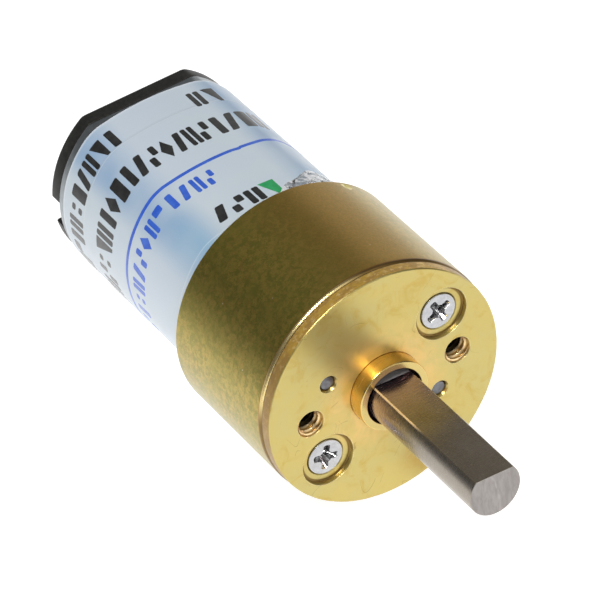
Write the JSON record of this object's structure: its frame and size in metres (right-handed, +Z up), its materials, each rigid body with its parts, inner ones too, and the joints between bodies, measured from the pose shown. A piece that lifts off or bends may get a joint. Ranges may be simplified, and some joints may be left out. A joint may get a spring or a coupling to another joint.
{
  "type": "gearmotor",
  "caption": "Miniature brass spur gearmotor: round gearbox with a D-cut output shaft and threaded face holes, in line with a flat-sided brushed DC motor.",
  "frame": {"origin": "on the output shaft's axis, in the plane of the front plate's mounting face", "axes": "+X along the output shaft towards its tip, +Z up and square to the motor's two flats, +Y completes the right-handed frame and passes through a mounting hole"},
  "size_m": [0.0369, 0.014, 0.014],
  "materials": {
    "brass_housing": "dull, tumbled, olive brown",
    "brass_plate": "satin",
    "brass_rear": "satin",
    "brass_bush": "machined",
    "zinc_screws": "bright zinc",
    "brass_pillars": "machined",
    "pin_steel": "ground",
    "brass_spacers": "machined",
    "shaft_steel": "ground, slightly stained",
    "gear_brass": "hobbed",
    "pinion_steel": "hobbed",
    "washer_steel": "satin",
    "pinion_brass": "hobbed",
    "motor_shaft_steel": "ground",
    "core_steel": "stamped laminations",
    "insulator": "matte",
    "copper_wire": "enamelled copper",
    "hub_plastic": "matte",
    "commutator_copper": "copper",
    "can_steel": "zinc plated",
    "bearing_bronze": "sintered",
    "magnet": "ferrite",
    "spring_steel": "satin",
    "end_plastic": "satin black",
    "terminal_brass": "tinned",
    "brush_metal": "spring bronze",
    "label_film": "glossy printed film"
  },
  "bodies": {
    "casing": {"gear_housing": "brass_housing", "front_plate": "brass_plate", "rear_plate": "brass_rear", "output_bush": "brass_bush", "cover_screws": "zinc_screws", "spacer_pillars": "brass_pillars", "axle_pin_a": "pin_steel", "axle_pin_b": "pin_steel", "axle_spacers": "brass_spacers", "motor_screws": "zinc_screws", "thrust_washer": "washer_steel", "motor_can": "can_steel", "front_bearing": "bearing_bronze", "rear_bearing": "bearing_bronze", "magnets": "magnet", "magnet_springs": "spring_steel", "end_bell": "end_plastic", "terminals": "terminal_brass", "brushes": "brush_metal", "label_sleeve": "label_film"},
    "output": {"output_shaft": "shaft_steel", "output_gear": "gear_brass"},
    "third_cluster": {"third_cluster_gear": "gear_brass", "third_cluster_pinion": "pinion_steel"},
    "second_idler": {"second_idler_gear": "gear_brass", "second_idler_pinion": "pinion_steel"},
    "second_cluster": {"second_cluster_gear": "gear_brass", "second_cluster_pinion": "pinion_steel"},
    "first_idler": {"first_idler_gear": "gear_brass", "first_idler_pinion": "pinion_steel"},
    "first_cluster": {"first_cluster_gear": "gear_brass", "first_cluster_pinion": "pinion_steel"},
    "rotor": {"motor_shaft": "motor_shaft_steel", "motor_pinion": "pinion_brass", "rotor_core": "core_steel", "rotor_windings": "copper_wire", "winding_insulators": "insulator", "commutator_hub": "hub_plastic", "commutator_segments": "commutator_copper"}
  },
  "joints": [
    {"name": "output_spin", "type": "hinge", "parent": "casing", "child": "output", "pos_m": [0, 0, 0], "axis": [1, 0, 0], "continuous": true},
    {"name": "third_cluster_spin", "type": "hinge", "parent": "casing", "child": "third_cluster", "pos_m": [-0.005, 0.00316, -0.00193], "axis": [1, 0, 0], "continuous": true},
    {"name": "second_idler_spin", "type": "hinge", "parent": "casing", "child": "second_idler", "pos_m": [-0.005, 0, 0], "axis": [1, 0, 0], "continuous": true},
    {"name": "second_cluster_spin", "type": "hinge", "parent": "casing", "child": "second_cluster", "pos_m": [-0.005, -0.00316, 0.00193], "axis": [1, 0, 0], "continuous": true},
    {"name": "first_idler_spin", "type": "hinge", "parent": "casing", "child": "first_idler", "pos_m": [-0.005, 0, 0], "axis": [1, 0, 0], "continuous": true},
    {"name": "first_cluster_spin", "type": "hinge", "parent": "casing", "child": "first_cluster", "pos_m": [-0.005, 0.00316, -0.00193], "axis": [1, 0, 0], "continuous": true},
    {"name": "rotor_spin", "type": "hinge", "parent": "casing", "child": "rotor", "pos_m": [-0.016, 0, 0], "axis": [1, 0, 0], "continuous": true}
  ],
  "couplings": [
    {"joint": "third_cluster_spin", "follows": "output_spin", "ratio": -2.7},
    {"joint": "second_idler_spin", "follows": "output_spin", "ratio": 4.4357},
    {"joint": "second_cluster_spin", "follows": "output_spin", "ratio": -11.976},
    {"joint": "first_idler_spin", "follows": "output_spin", "ratio": 19.676},
    {"joint": "first_cluster_spin", "follows": "output_spin", "ratio": -53.124},
    {"joint": "rotor_spin", "follows": "output_spin", "ratio": 98.075}
  ]
}
